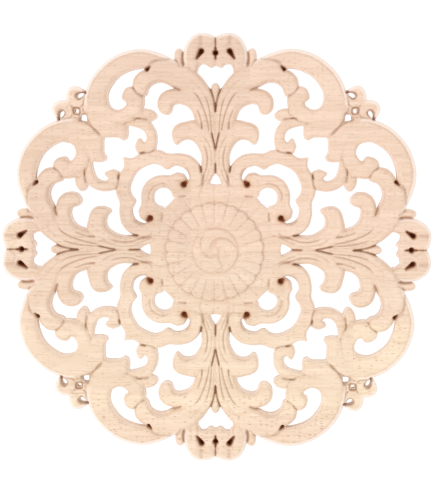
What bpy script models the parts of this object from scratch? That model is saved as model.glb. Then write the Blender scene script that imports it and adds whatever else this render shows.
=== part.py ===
"""Round openwork wood carving, 300 mm across and 12 mm thick, with a flat back.

The ornament mirrors over the upright, level and both diagonal lines. So one eighth of it is made, of
tapering ribbons: scrolls, leaves, frames and berries. They are joined, cut to a 45 degree wedge and
mirrored three times. The rosette in the middle, two rings of petals around a whirl, is joined on last.
The panel hangs upright: its back is the plane y = 0, its face looks along -Y, and the origin is the
middle of the back.
"""
import math

import bmesh
import bpy
from mathutils import Matrix, Vector

# Driving dimension, in metres; the sizes below are in millimetres for a panel 300 mm across
PANEL_WIDTH = 0.300
UNIT = PANEL_WIDTH / 300

# Heights above the back
EDGE = 6.4            # top of the sawn walls around the openings
BELOW_BACK = -1.5     # foot of every ribbon, before the back is cut flat
SLAB = 10.0           # thickness of what is cut away behind the back
PIT_FLOOR = 1.6       # bottom of a blind pit
THROUGH = -2.5        # bottom of a hole that goes right through
ABOVE_FACE = 14.0     # top of a drill, clear of the relief

# Cross-sections of a ribbon, from its left edge to its right: share of the width, share of the rise
RIDGE = [(0, 0), (0.5, 1), (1, 0)]
RIM = [(0, 0), (0.15, 1), (0.62, 0.35), (1, 0.45)]
FLUTES = [(0, 0), (0.24, 1), (0.5, 0.45), (0.76, 1), (1, 0)]
MOULDING = [(0, 0), (0.3, 1), (0.7, 0.25), (1, 0.35)]

# A ribbon is a name, a cross-section, the crest's height at its root, middle and tip, the steps from one
# station to the next, and the stations from root to tip. A station is the left and the right edge point,
# x to the right and y up from the centre of the panel.

# The crest at the top: an arch that curls over a knob, with an ear on its outer side
CREST = [
    ("crest_arch", RIDGE, (9.2, 9.8, 9.0), 2,
     [(20.3, 125.5, 12.0, 123.5), (21.8, 136, 12.4, 133), (20.2, 144.2, 11.2, 138),
      (15.3, 148.7, 9.8, 140), (9, 150, 8.6, 140.6), (3.6, 149, 7.4, 139.8), (-0.8, 146, 6.5, 137.5)]),
    ("crest_knob", RIDGE, (7.4, 9.2, 8.0), 1,
     [(-0.8, 147.6, 9, 144.5), (-0.8, 140, 14, 139), (-0.8, 133, 14, 133), (-0.8, 130.4, 14, 128.4),
      (0.4, 127.6, 7.4, 128.7), (2.6, 125.2, 5.4, 127)]),
    ("crest_ear", RIDGE, (8.0, 8.6, 7.6), 1,
     [(20.3, 125.5, 25.5, 127), (21.9, 131, 28.4, 131.8), (21.8, 136.5, 28.1, 136.5),
      (23.4, 139.8, 26.8, 140)]),
]

# The big scroll of the outer edge, with its curled head and the leaf of its tail
SCROLL = [
    ("c_scroll", RIM, (8.6, 10.2, 9.4), 2,
     [(23, 128.4, 24.5, 126.6), (38, 136.2, 40, 126.4), (54, 139.2, 53, 126.7),
      (71.5, 133.6, 66, 121.3), (85.4, 120.5, 74.2, 110.5), (91.6, 105.5, 74.6, 101),
      (88.6, 93, 69.2, 96.6), (77, 86.5, 65.2, 97.3), (62.5, 87.2, 62.4, 100.2),
      (55, 91.8, 61.6, 102)]),
    ("curl_head", RIDGE, (9.2, 10.8, 9.0), 1,
     [(55, 91.8, 63.4, 98.8), (51.5, 96, 62, 101), (49.8, 101, 62.4, 102.8), (49.7, 105.5, 64.8, 104.3),
      (51.5, 109, 65.4, 107), (55, 112, 64.2, 110.5), (58.2, 113.6, 61.8, 113.3)]),
    ("tail_leaf", FLUTES, (9.6, 10.6, 8.2), 1,
     [(84, 99, 91.4, 99.5), (80.5, 94.5, 90.8, 93), (75, 92, 88.5, 86), (69, 90, 84, 81.5),
      (62.0, 87.5, 80, 77.8), (61.2, 84.5, 74, 78), (61.1, 80.5, 67.5, 77.7), (61.9, 77, 64.2, 75.6)]),
]

# The leaves that spring from the rosette: a sheath along the scroll, two side leaves and a bud on the axis
LEAVES = [
    ("sheath", FLUTES, (8.8, 12.0, 10.0), 1,
     [(-0.8, 76, 3, 82), (-0.8, 103, 9, 101), (5.2, 114.6, 20, 110), (10.4, 120.9, 26, 112),
      (17, 126.6, 31, 113.5), (25, 130.3, 35, 115.9), (34, 133, 39.5, 116.2), (41, 131.8, 43.5, 114.9),
      (46, 126.3, 46.3, 112), (52, 124, 47.3, 109), (57, 119.5, 49.5, 107.2),
      (58.2, 114.5, 53.5, 108.3)]),
    ("leaf_two", FLUTES, (8.4, 10.8, 9.2), 1,
     [(0.2, 76, 4, 79), (2.5, 92, 13.8, 90), (6, 100, 15.5, 94.5), (12, 107, 18, 98.5),
      (20, 111, 21.5, 101), (28, 112, 26, 102), (35, 110.6, 29, 101.3), (39.3, 106.5, 30.2, 99.5),
      (40.8, 101.5, 30.3, 97.3), (39.6, 97, 31.8, 94.8), (36.5, 94.4, 34, 94)]),
    ("leaf_one", FLUTES, (8.4, 10.8, 9.4), 1,
     [(4.8, 43.5, 9.8, 41.5), (2.2, 50, 8.7, 50), (-0.8, 57, 9.1, 57), (-0.8, 66, 9.8, 65),
      (-0.8, 76, 11, 69.5), (1.8, 82, 13, 73), (8, 86.2, 15.5, 75.3), (14, 89.9, 18, 76.6),
      (21, 89.3, 21, 76.5), (27, 87.8, 23.3, 75.4), (30.4, 84, 25, 74), (30.0, 78, 26.1, 72.8),
      (28.6, 74.2, 27.2, 72.9)]),
    ("bud", RIDGE, (7.6, 8.8, 7.8), 1,
     [(-0.8, 102.5, 0.8, 103.5), (-1.5, 109, 1.7, 109), (-2, 113, 2.2, 113),
      (-1.0, 117.3, 0.9, 117.1)]),
]

# The frame around the round hole beside the rosette, and the hooks that tie it to the scroll
FRAMES = [
    ("bract", RIDGE, (8.4, 8.8, 7.6), 1,
     [(57, 90, 57, 88), (51.5, 96.3, 52, 89), (47, 98.2, 46, 89.3), (43, 96.9, 42, 90.4),
      (40.6, 94.3, 40.5, 92.3)]),
    ("hook", RIDGE, (8.4, 9.0, 8.2), 1,
     [(62, 90.5, 62, 86.8), (54, 90.8, 55.5, 85.8), (47, 90, 51.3, 83.8), (42.8, 85.5, 49.2, 81.3),
      (40.9, 80, 48.3, 78), (40.9, 74, 48.9, 75.6), (43.3, 68, 50.2, 74.6), (49, 65.5, 51.4, 75.2),
      (54.3, 67.7, 52.6, 76.9), (56.4, 72, 54, 77.4)]),
    ("frame", MOULDING, (9.4, 9.4, 9.4), 1,
     [(10.5, 38.5, 23, 40), (9, 44, 22.6, 45.7), (8.7, 49.3, 18.6, 48.6), (9.3, 55, 17.9, 51.8),
      (12.5, 61, 19, 55.3), (18, 65.7, 22.5, 58), (26, 67.4, 28, 58.2), (33, 66.3, 33.7, 56.1),
      (39, 68.9, 38.5, 59.0), (46, 69.2, 43.5, 60.1), (53, 66.8, 49, 58.2), (59, 63.8, 53, 56),
      (65.5, 65.0, 56, 53.5)]),
    ("cloud", MOULDING, (8.8, 9.2, 8.8), 1,
     [(22, 51.3, 25, 41), (28, 53.2, 30, 39.4), (32.5, 51.3, 31.6, 41.6), (38, 51.6, 36, 43.4),
      (43, 50, 40.5, 42.0), (49.0, 47.2, 43.8, 39.5)]),
    ("volute", RIDGE, (9.0, 9.6, 8.8), 1,
     [(20.6, 49.4, 20.4, 46.2), (25, 53.2, 21.3, 46.4), (31, 49.5, 21.8, 45.6), (32, 41, 21.6, 44.6),
      (22, 36.0, 20.8, 44.2), (12, 40, 20.2, 44.8)]),
]

# The berries between two scrolls, curled like hooks on a short stem
BERRIES = [
    ("berry", RIDGE, (7.8, 8.6, 8.6), 1,
     [(92.2, 109.6, 93.4, 108.4), (93.0, 112.2, 94.8, 108.9), (96, 114.2, 96.4, 108.5),
      (100.5, 114.3, 97.4, 107.3), (104.0, 111.3, 97.2, 105.9), (105.2, 107, 95.7, 105.3),
      (104, 101, 94.2, 105.9), (96, 100, 89, 107.5)]),
    ("berry_stem", RIDGE, (8.4, 8.4, 7.8), 1,
     [(88, 106, 100, 105), (88, 100.8, 101.5, 99.5), (88, 98.2, 98.6, 98.2), (88, 94.8, 95.8, 94.8),
      (88, 92.4, 93, 91.6)]),
]

RIBBONS = CREST + SCROLL + LEAVES + FRAMES + BERRIES

# Drilled holes: the bottom's height, then circles of x, y and radius; two circles make a tapering slit
DRILLS = {"volute_eye": (PIT_FLOOR, [(21.0, 45.0, 2.2)]),
          "crest_pit": (PIT_FLOOR, [(0.0, 137.0, 1.3)]),
          "crest_slit": (PIT_FLOOR, [(9.3, 138.4, 1.7), (12.0, 133.6, 0.35)]),
          "berry_star": (THROUGH, [(97.0, 97.0, 1.8)])}
DRILL_SIDES = 8

# Thinning of the joined ribbons: the share of the faces that stays, and how flat the relief is meanwhile
KEPT_FACES = 0.26
FLATTENED = 0.5

# Distances, in metres, under which points are one
CUT_SNAP = 1e-6
MIRROR_MERGE = 1e-5

# Rosette, from the outer wall's foot in to the boss: radius and height in the notch between two petals,
# then radius and height along a petal's middle
PETALS = 24
ROSETTE_RINGS = [((44.6, BELOW_BACK), (47.0, BELOW_BACK)),
                 ((44.6, EDGE), (47.0, 7.0)),
                 ((40.0, 7.4), (41.5, 8.8)),
                 ((33.0, 6.6), (34.8, 7.4)),
                 ((32.4, 8.0), (34.4, 9.6)),
                 ((25.5, 8.2), (25.5, 9.6)),
                 ((18.4, 7.4), (18.4, 8.0)),
                 ((16.6, 9.6), (16.6, 9.6)),
                 ((15.6, 8.8), (15.6, 8.8))]

# Whirl on the boss: three commas around a button, each broad at first and thin where it ends at the rim
COMMAS = 3
COMMA_START = math.radians(75)
COMMA_SWEEP = math.radians(165)
COMMA_STEPS = 6
COMMA_TAPER = 1.3
COMMA_TIP = 1.0
COMMA_CREST = (9.4, 10.8, 9.0)
COMMA_EDGE = 8.4
WHIRL_RADIUS = 15.6
BUTTON_RADIUS = 2.3
BUTTON_TOP_RADIUS = 1.6
BUTTON_HEIGHT = 11.2
BUTTON_SIDES = 12

WOOD_COLOUR = (0.855, 0.665, 0.500, 1.0)
WOOD_ROUGHNESS = 0.62


def clear_scene():
    for old in list(bpy.data.objects):
        bpy.data.objects.remove(old)


def wood_material():
    """Bare pale wood, sanded and unvarnished."""
    material = bpy.data.materials.new("pale_rubberwood")
    material.use_nodes = True
    shader = material.node_tree.nodes["Principled BSDF"]
    shader.inputs["Base Color"].default_value = WOOD_COLOUR
    shader.inputs["Roughness"].default_value = WOOD_ROUGHNESS
    shader.inputs["Metallic"].default_value = 0.0
    return material


def new_collection(name, parent):
    made = bpy.data.collections.new(name)
    parent.children.link(made)
    return made


def add_object(name, mesh, collection):
    made = bpy.data.objects.new(name, mesh)
    collection.objects.link(made)
    return made


def add_cutter(name, mesh, collection):
    """A hidden object that is only joined to, or cut from, the panel."""
    made = add_object(name, mesh, collection)
    made.hide_render = True
    made.display_type = "WIRE"


def spline(points, steps):
    """Points on a Catmull-Rom curve through the given ones, with that many steps for each span."""
    ends = [[2 * a - b for a, b in zip(points[0], points[1])], *points,
            [2 * a - b for a, b in zip(points[-1], points[-2])]]
    curve = []
    for before, start, end, after in zip(ends, ends[1:], ends[2:], ends[3:]):
        for k in range(steps):
            t = k / steps
            curve.append([0.5 * (2 * q + (r - p) * t + (2 * p - 5 * q + 4 * r - s) * t ** 2
                                 + (3 * q - p - 3 * r + s) * t ** 3)
                          for p, q, r, s in zip(before, start, end, after)])
    curve.append(list(points[-1]))
    return curve


def bend_through(values, t):
    """Parabola through the three values at t = 0, 1/2 and 1."""
    start, middle, end = values
    return start * (1 - t) * (1 - 2 * t) + middle * 4 * t * (1 - t) + end * t * (2 * t - 1)


def loft(rings):
    """A closed skin over rings that have the same number of points, with a cap on both ends."""
    skin = bmesh.new()
    loops = [[skin.verts.new(point) for point in ring] for ring in rings]
    for near, far in zip(loops, loops[1:]):
        for i in range(len(near)):
            j = (i + 1) % len(near)
            skin.faces.new((near[i], near[j], far[j], far[i]))
    skin.faces.new(reversed(loops[0]))
    skin.faces.new(loops[-1])
    bmesh.ops.recalc_face_normals(skin, faces=skin.faces)
    bmesh.ops.triangulate(skin, faces=skin.faces)
    return skin


def to_mesh(skin, name):
    mesh = bpy.data.meshes.new(name)
    skin.to_mesh(mesh)
    skin.free()
    return mesh


def ribbon_mesh(name, section, crest, steps, stations, edge=EDGE):
    """A tapering ribbon with upright walls and the given cross-section on top."""
    curve = spline(stations, steps)
    rings = []
    for k, (lx, ly, rx, ry) in enumerate(curve):
        rise = bend_through(crest, k / (len(curve) - 1)) - edge
        top = [(lx + (rx - lx) * v, ly + (ry - ly) * v, edge + rise * share) for v, share in section]
        ring = [(lx, ly, BELOW_BACK), *top, (rx, ry, BELOW_BACK)]
        rings.append([Vector(point) * UNIT for point in ring])
    return to_mesh(loft(rings), name)


def polar(radius, turn, height):
    return Vector((radius * math.cos(turn), radius * math.sin(turn), height))


def drill_mesh(name, floor, circles):
    """A drill that covers all the circles, from its floor to above the relief."""
    skin = bmesh.new()
    for height in (floor, ABOVE_FACE):
        for x, y, radius in circles:
            for k in range(DRILL_SIDES):
                side = polar(radius, 2 * math.pi * k / DRILL_SIDES, height)
                skin.verts.new((side + Vector((x, y, 0))) * UNIT)
    bmesh.ops.convex_hull(skin, input=skin.verts)
    return to_mesh(skin, name)


def applied(source):
    """The object's mesh with its modifiers applied; the object itself goes."""
    graph = bpy.context.evaluated_depsgraph_get()
    mesh = bpy.data.meshes.new_from_object(source.evaluated_get(graph), depsgraph=graph)
    bpy.data.objects.remove(source)
    return mesh


def combined(mesh, operation, operands):
    """The mesh joined with, or cut by, every object of a collection."""
    base = add_object("base", mesh, bpy.context.scene.collection)
    step = base.modifiers.new(operation.lower(), "BOOLEAN")
    step.operation = operation
    step.operand_type = "COLLECTION"
    step.collection = operands
    return applied(base)


def thinned(mesh):
    """The same shape with fewer faces; it is flat meanwhile, so that outlines count more than heights."""
    mesh.transform(Matrix.Diagonal((1, 1, FLATTENED, 1)))
    base = add_object("base", mesh, bpy.context.scene.collection)
    step = base.modifiers.new("thin", "DECIMATE")
    step.ratio = KEPT_FACES
    mesh = applied(base)
    mesh.transform(Matrix.Diagonal((1, 1, 1 / FLATTENED, 1)))
    return mesh


def joined_ribbons(cutters):
    """All ribbons as one body, with the holes drilled."""
    ribbons = new_collection("ribbons", cutters)
    drills = new_collection("drills", cutters)
    first, *rest = RIBBONS
    for ribbon in rest:
        add_cutter(ribbon[0], ribbon_mesh(*ribbon), ribbons)
    for name, (floor, circles) in DRILLS.items():
        add_cutter(name, drill_mesh(name, floor, circles), drills)
    mesh = combined(ribbon_mesh(*first), "UNION", ribbons)
    return thinned(combined(mesh, "DIFFERENCE", drills))


def wedge_mesh(joined):
    """The part of the ribbons between the upright line and the diagonal, left open along both."""
    skin = bmesh.new()
    skin.from_mesh(joined)
    for keep in (Vector((1, 0, 0)), Vector((-1, 1, 0)).normalized()):
        everything = [*skin.verts, *skin.edges, *skin.faces]
        bmesh.ops.bisect_plane(skin, geom=everything, plane_co=(0, 0, 0), plane_no=keep,
                               clear_inner=True, dist=CUT_SNAP)
    return to_mesh(skin, "wedge")


def mirror(target, name, axes, guide=None):
    step = target.modifiers.new(name, "MIRROR")
    step.use_axis = axes
    step.mirror_object = guide
    step.merge_threshold = MIRROR_MERGE


def surround_mesh(cutters):
    """Eight wedges: mirrored over the diagonal, then left to right, then top to bottom."""
    diagonal = add_object("diagonal", None, cutters)
    diagonal.rotation_euler = (0, 0, math.radians(45))
    surround = add_object("surround", wedge_mesh(joined_ribbons(cutters)), bpy.context.scene.collection)
    mirror(surround, "over_the_diagonal", (False, True, False), diagonal)
    mirror(surround, "left_to_right", (True, False, False))
    mirror(surround, "top_to_bottom", (False, True, False))
    return applied(surround)


def rosette_mesh():
    """Two rings of petals around the boss: rings of points in the notches and on the petals by turns."""
    rings = []
    for pair in ROSETTE_RINGS:
        ring = []
        for k in range(2 * PETALS):
            radius, height = pair[k % 2]
            ring.append(polar(radius, math.pi * k / PETALS, height) * UNIT)
        rings.append(ring)
    return to_mesh(loft(rings), "rosette")


def comma_mesh(start):
    """One comma of the whirl, clockwise from its broad root to its tip at the rim."""
    stations = []
    for k in range(COMMA_STEPS + 1):
        share = k / COMMA_STEPS
        turn = start - share * COMMA_SWEEP
        inner = BUTTON_RADIUS + (WHIRL_RADIUS - COMMA_TIP - BUTTON_RADIUS) * share ** COMMA_TAPER
        stations.append((*polar(WHIRL_RADIUS, turn, 0).xy, *polar(inner, turn, 0).xy))
    return ribbon_mesh("comma", RIDGE, COMMA_CREST, 1, stations, edge=COMMA_EDGE)


def button_mesh():
    skin = bmesh.new()
    bmesh.ops.create_cone(skin, cap_ends=True, segments=BUTTON_SIDES, radius1=BUTTON_RADIUS * UNIT,
                          radius2=BUTTON_TOP_RADIUS * UNIT, depth=BUTTON_HEIGHT * UNIT,
                          matrix=Matrix.Translation((0, 0, BUTTON_HEIGHT / 2 * UNIT)))
    return to_mesh(skin, "button")


def slab_mesh():
    """What is cut away behind the flat back."""
    size = Vector((2 * PANEL_WIDTH, 2 * PANEL_WIDTH, SLAB * UNIT))
    place = Matrix.Translation((0, 0, -size.z / 2)) @ Matrix.Diagonal(size).to_4x4()
    skin = bmesh.new()
    bmesh.ops.create_cube(skin, size=1, matrix=place)
    return to_mesh(skin, "slab")


def panel_mesh(cutters):
    """The surround and the rosette as one body with a flat back, lying face up."""
    centre = new_collection("centre", cutters)
    add_cutter("rosette", rosette_mesh(), centre)
    add_cutter("button", button_mesh(), centre)
    for k in range(COMMAS):
        add_cutter(f"comma_{k + 1}", comma_mesh(COMMA_START + 2 * math.pi * k / COMMAS), centre)
    behind = new_collection("behind", cutters)
    add_cutter("slab", slab_mesh(), behind)
    mesh = combined(surround_mesh(cutters), "UNION", centre)
    return combined(mesh, "DIFFERENCE", behind)


def make_panel():
    ornament = new_collection("carved_panel", bpy.context.scene.collection)
    cutters = new_collection("cutters", bpy.context.scene.collection)
    mesh = panel_mesh(cutters)
    mesh.materials.clear()
    mesh.materials.append(wood_material())
    panel = add_object("carved_panel", mesh, ornament)
    panel.rotation_euler = (math.radians(90), 0, 0)


clear_scene()
make_panel()
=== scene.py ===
"""Looks of the round openwork wood carving: its fine relief, bare wood, stage, light and camera.

The relief is a height map. One eighth of the ornament is made of ribbons that lie between a left and a
right edge, and is mirrored like the solid. Veins are carved in, pits are sunk, and the medallion in the
middle is worked out from its petals and its whirl. The map then becomes one closed mesh with upright sawn
walls and a flat back. Its sizes are millimetres for a panel 300 mm across, x to the right and y up from the
centre, heights from the back. Staves, stage, light and camera are in metres in the shared frame.
"""

import math

import bmesh
import bpy
import numpy as np
from mathutils import Matrix, Vector


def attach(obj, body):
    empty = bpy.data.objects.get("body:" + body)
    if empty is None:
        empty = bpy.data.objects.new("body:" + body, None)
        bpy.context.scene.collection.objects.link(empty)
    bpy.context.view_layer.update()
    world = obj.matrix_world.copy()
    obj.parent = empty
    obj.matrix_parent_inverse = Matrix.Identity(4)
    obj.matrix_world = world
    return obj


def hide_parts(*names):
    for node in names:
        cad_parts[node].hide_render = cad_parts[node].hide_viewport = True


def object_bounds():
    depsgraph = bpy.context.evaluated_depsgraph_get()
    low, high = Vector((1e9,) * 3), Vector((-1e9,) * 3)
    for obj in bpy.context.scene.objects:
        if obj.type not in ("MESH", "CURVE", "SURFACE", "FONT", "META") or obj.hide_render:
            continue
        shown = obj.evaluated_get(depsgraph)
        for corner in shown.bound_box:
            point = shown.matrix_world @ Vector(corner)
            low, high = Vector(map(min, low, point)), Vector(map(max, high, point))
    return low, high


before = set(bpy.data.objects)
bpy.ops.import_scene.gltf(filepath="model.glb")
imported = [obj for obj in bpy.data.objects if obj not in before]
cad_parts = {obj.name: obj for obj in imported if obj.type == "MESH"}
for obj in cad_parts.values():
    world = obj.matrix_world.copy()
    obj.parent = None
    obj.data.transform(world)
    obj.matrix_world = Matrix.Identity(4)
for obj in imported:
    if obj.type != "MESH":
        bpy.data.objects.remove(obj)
cad_low, cad_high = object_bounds()

MM = 0.001

# Height map and mesh. A blur is a number of smoothing passes
FINE = 0.25                 # pitch of the height map
COARSEN = 2                 # map points to one step of the mesh
REACH = 151.5               # the map runs from the centre to here
SIDE = int(REACH / FINE) + 1
COVER_BLUR = 3              # rounds the outline
AROUND_BLUR = 14            # tells how near an opening is
HEIGHT_BLUR = 2
SPREADS = 6                 # how many times the heights are spread out over the openings
HOLLOW_BLUR = 5             # the mean height that a hollow is measured from, at the mesh's pitch
FAINT = 1e-4                # less wood around a point than this counts as none
SLIVER = 1e-9               # least area that a triangle of a ribbon counts with
ON_EDGE = 1e-6              # a corner's weight may fall this far below zero in a triangle
OUTLINE = 0.5               # the mesh ends where the cover falls to this
NEAREST_CROSSING = 0.08     # the outline stays this share of a step clear of the map points
TRIANGLES = 190000
SHARP = math.radians(50)    # edges over this angle are shaded sharp
BOX_SHARE = 0.9998          # how much of the solid's box the panel fills

# Relief. A slope is where it starts and how far it takes
EDGE = 7.3                  # height of a ribbon at its sides
ARRIS_DROP = 1.3            # how far the sanded rim of an opening falls
ARRIS = (0.5, 0.42)         # slope of the rim, by the share of wood around a point
VEIN_STEPS = 5              # steps from one point of a vein to the next
VEIN_RUN_OUT = 0.15         # share of a vein over which it gets shallow at each end
VEIN_END = 0.25             # share of its depth that is left there
VEIN_MARGIN = 3             # a vein is worked out this many half widths to each side
PIT_SLOPE = 5.5
PIT_MARGIN = 6
TOOL_MARKS = [(0.06, 90, 3), (0.10, 25, 4)]     # height, bumps across the panel and seed

# Sections of the ribbons: widths and slopes from one side, depths as shares of the crest's rise. Domes, brows
# and leaves round off to both sides. A rim is a bead, a groove and a face, a moulding a roll, cove and lip
DOME_FLANK = 3.8
DOME_FULLNESS = 0.85
LEAF_FLANK = 3.6
FOLD_WIDTH = 2.4
FOLD_DEPTH = 0.08
FOLD_SLOPE = (5, 5)         # narrow stretches of a leaf have no fold
BEAD = 2.4
BEAD_RISE = 0.62
GROOVE = 2.8
GROOVE_WIDTH = 0.45
GROOVE_DEPTH = 0.22
RIM_SLOPE = (2.6, 1.3)
RIM_RISE = 0.38
RIM_INNER = 3.4
RIM_INNER_EDGE = 0.55
RIM_INNER_RISE = 0.45
ROLL = 2.0
COVE_SLOPE = (1.8, 2.4)
COVE_DEPTH = 0.26
LIP = 1.6
LIP_WIDTH = 1.1
LIP_RISE = 0.14
MOULDING_INNER = 1.4
MOULDING_INNER_EDGE = 0.6
MOULDING_INNER_RISE = 0.4
HIGHLIGHT_BAND_WIDTH = 1.4             # width of the painted highlight, a band of paler wood along the outer edge, and of the slope beside it
HIGHLIGHT_START = 0.08           # shares of a ribbon's length over which that band sets in and ends
HIGHLIGHT_END = 0.12

# A ribbon: its kind, the crest's height at its root, middle and tip, and its stations from root to tip.
# A station is the left and the right edge point.
CREST = [
    ("brow", (9.2, 9.8, 9.0),
     [(20.3, 125.5, 12.2, 123.6), (21.9, 131.5, 11.9, 126.4), (22, 136, 10.3, 128.8),
      (20.9, 141.2, 11.6, 133.5), (17.3, 146.8, 11.6, 138), (12.2, 149.8, 10.2, 140),
      (7.2, 150, 9, 140.6), (2.8, 148.9, 7.6, 139.8), (-0.8, 146.5, 6.5, 137.5)]),
    ("dome", (7.4, 9.2, 8.0),
     [(-0.8, 147.4, 9, 144.5), (-0.8, 140, 13.4, 139), (-0.8, 134, 13.6, 133), (-0.8, 130.6, 11.6, 129.2),
      (-0.6, 128.3, 7.4, 128.7), (1.2, 127.3, 5.8, 128), (2.6, 126.2, 4.9, 126.6)]),
    ("dome", (8.0, 8.6, 7.6),
     [(20.3, 125.5, 26, 127.8), (21.9, 131, 28.5, 132), (22, 136, 28.4, 136.4),
      (23.2, 138.7, 27.4, 138.8), (24.4, 139.5, 26.3, 139.5)]),
]
SCROLL = [
    ("rim", (8.8, 10.2, 9.6),
     [(23, 128.4, 24.5, 126.6), (38, 136.2, 41, 124.6), (54, 139.2, 53, 125.7),
      (71.5, 133.6, 66, 120.8), (85.4, 120.5, 74, 110.5), (91.4, 105.5, 74.5, 102),
      (90.2, 98, 73, 99.4)]),
    ("dome", (9.8, 10.0, 9.4),
     [(91.3, 107, 74.5, 103), (89.9, 98, 73.5, 100.2), (88, 92, 70.5, 97.9), (77, 86.5, 66.5, 97.6),
      (62.5, 87.2, 62.6, 100), (55, 91.8, 61.6, 102)]),
    ("dome", (9.2, 10.8, 9.0),
     [(55, 91.8, 63.4, 98.8), (51.5, 96, 62, 101), (49.6, 101, 62.4, 102.9), (49.5, 105.5, 64.7, 104.3),
      (51.5, 109, 65, 107), (55, 112, 63.8, 110.5), (58.2, 113.6, 61.6, 112.9)]),
    ("dome", (9.6, 10.4, 8.2),
     [(84, 99, 91.2, 99.5), (80.5, 94.5, 89.9, 92.8), (75, 92, 88.2, 86), (69, 90, 84, 81.5),
      (62.0, 87.5, 80, 78), (61.1, 84.5, 74, 78.2), (60.9, 80.5, 67.5, 77.9), (61.8, 77, 64.6, 75.8)]),
]
LEAVES = [
    ("dome", (9.2, 10.6, 9.0),
     [(-0.8, 60, 9.3, 62), (-0.8, 76, 11, 72), (-0.8, 88, 12.8, 86), (-0.8, 99, 15, 93.6),
      (3.5, 108, 17.6, 98.4), (8, 115, 21, 102.4), (14, 121, 26, 107), (20, 125.4, 29.6, 110.6)]),
    ("leaf", (8.8, 12.0, 10.0),
     [(-0.8, 76, 3, 82), (-0.8, 103, 9, 101), (5.0, 113.7, 20, 110), (10.2, 120.6, 26, 112),
      (17, 126.6, 31, 113.3), (25, 130.3, 35, 115.4), (34, 133, 39.5, 116), (41, 131.8, 43.5, 114.7),
      (47.5, 126.0, 46.3, 112), (52.2, 123.6, 47.2, 109), (56.4, 119.5, 49, 106.6),
      (57.8, 114.5, 53.5, 107.6)]),
    ("leaf", (8.4, 10.8, 9.2),
     [(0.2, 76, 4, 79), (2.5, 92, 13.8, 90), (6, 100, 15.8, 94.5), (12, 107, 18, 98),
      (20, 111, 21.5, 100.3), (28, 112, 26, 101.3), (35, 110.4, 28.9, 100.4), (39.2, 106.5, 29.9, 98.5),
      (40.5, 101.5, 30.2, 96.6), (39.4, 97, 31.8, 94.4), (36.4, 94.1, 34, 93.6)]),
    ("leaf", (8.4, 10.8, 9.4),
     [(5.0, 44.0, 9.8, 41.5), (2.8, 49.4, 9.2, 50), (-0.8, 56, 9.9, 57), (-0.8, 66, 9.8, 65),
      (-0.8, 76, 11.2, 69.6), (1.8, 82, 13.2, 73), (8, 86.2, 15.5, 75.4), (14, 90.3, 18, 76.4),
      (21, 89.3, 21, 76.4), (26.5, 87.6, 23.5, 75.4), (29.9, 84, 25.2, 74), (30.3, 78.6, 26.2, 72.9),
      (28.7, 74.0, 27.2, 72.8)]),
    ("dome", (7.6, 9.4, 8.4),
     [(-0.8, 100, 0.6, 101), (-0.8, 106, 2.0, 106), (-0.8, 110, 2.8, 110), (-0.8, 112.8, 2.9, 112.6),
      (-0.8, 115.0, 2.2, 114.6), (-0.8, 116.0, 0.8, 115.9)]),
]
FRAMES = [
    ("dome", (8.4, 8.8, 7.6),
     [(57, 90, 57, 88), (51.5, 97.4, 52, 89), (47, 98.1, 46, 89.2), (43, 96.6, 42, 90.6),
      (40.6, 94, 40.5, 92.4)]),
    ("dome", (8.4, 9.0, 8.2),
     [(62, 90.5, 62, 86.6), (54, 90.8, 55.5, 85.2), (47, 90, 51.3, 83.7), (42.8, 85.5, 48.9, 81.3),
      (40.8, 80, 48, 78), (40.8, 74, 48.5, 75.8), (43.0, 68, 50.2, 74.8), (49, 65.5, 51.4, 76.6),
      (54.3, 67.7, 52.8, 77.9), (56.4, 72, 54.2, 77.4)]),
    ("moulding", (9.4, 9.4, 9.4),
     [(10.5, 38.5, 23, 40), (9, 44, 22.6, 45.7), (8.7, 49.3, 18.6, 48.8), (9.3, 55, 18.5, 51.8),
      (12.3, 61, 20.2, 55.2), (18, 65.7, 23.6, 57.7), (26, 67.4, 28.6, 58.2), (33, 67.2, 33.8, 55.8),
      (39, 69.5, 38.3, 58.7), (46, 69.2, 43.3, 59.8), (53, 66.8, 48.7, 58), (59, 63.8, 52.8, 55.8),
      (65.5, 65.0, 55.7, 53.4)]),
    ("moulding", (8.8, 9.2, 8.8),
     [(21.5, 52, 24, 40), (26.8, 53.9, 29.6, 36.6), (32, 51.9, 31.2, 40.8), (38, 52.1, 35.4, 43.2),
      (43.2, 50.9, 40.0, 42.2), (49.4, 47.0, 43.1, 39.0)]),
    ("dome", (9.0, 9.6, 8.8),
     [(19.6, 49.0, 20.0, 46.4), (23.6, 53.4, 21.6, 46.8), (30.4, 50.5, 22.1, 46.2), (32, 42, 22.1, 45.2),
      (23, 37.5, 21.4, 44.6), (12, 40, 20.6, 45.2)]),
]
BERRIES = [
    ("brow", (8.4, 8.8, 8.6),
     [(89.8, 110.0, 90.4, 108.6), (92.6, 111.8, 93.0, 109.0), (95.2, 113.4, 94.7, 108.9),
      (98.4, 113.9, 95.9, 108.2), (101.4, 112.6, 96.5, 107.2), (103.4, 109.8, 96.4, 106.2),
      (104.2, 106.4, 95.6, 105.4), (103.8, 101, 94.4, 105.4)]),
    ("dome", (8.4, 8.4, 7.8),
     [(88, 108.6, 91.6, 108.2), (88, 106.2, 93.6, 106.1), (88, 105, 96, 105.2), (88, 102, 102, 101),
      (88, 98, 98.6, 98), (88.6, 95.9, 96.4, 95.6), (90.3, 94.3, 93.9, 93.7)]),
]
RIBBONS = CREST + SCROLL + LEAVES + FRAMES + BERRIES
ALONG = 8                   # steps from one station to the next
ACROSS = 8                  # strips across a ribbon

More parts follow.
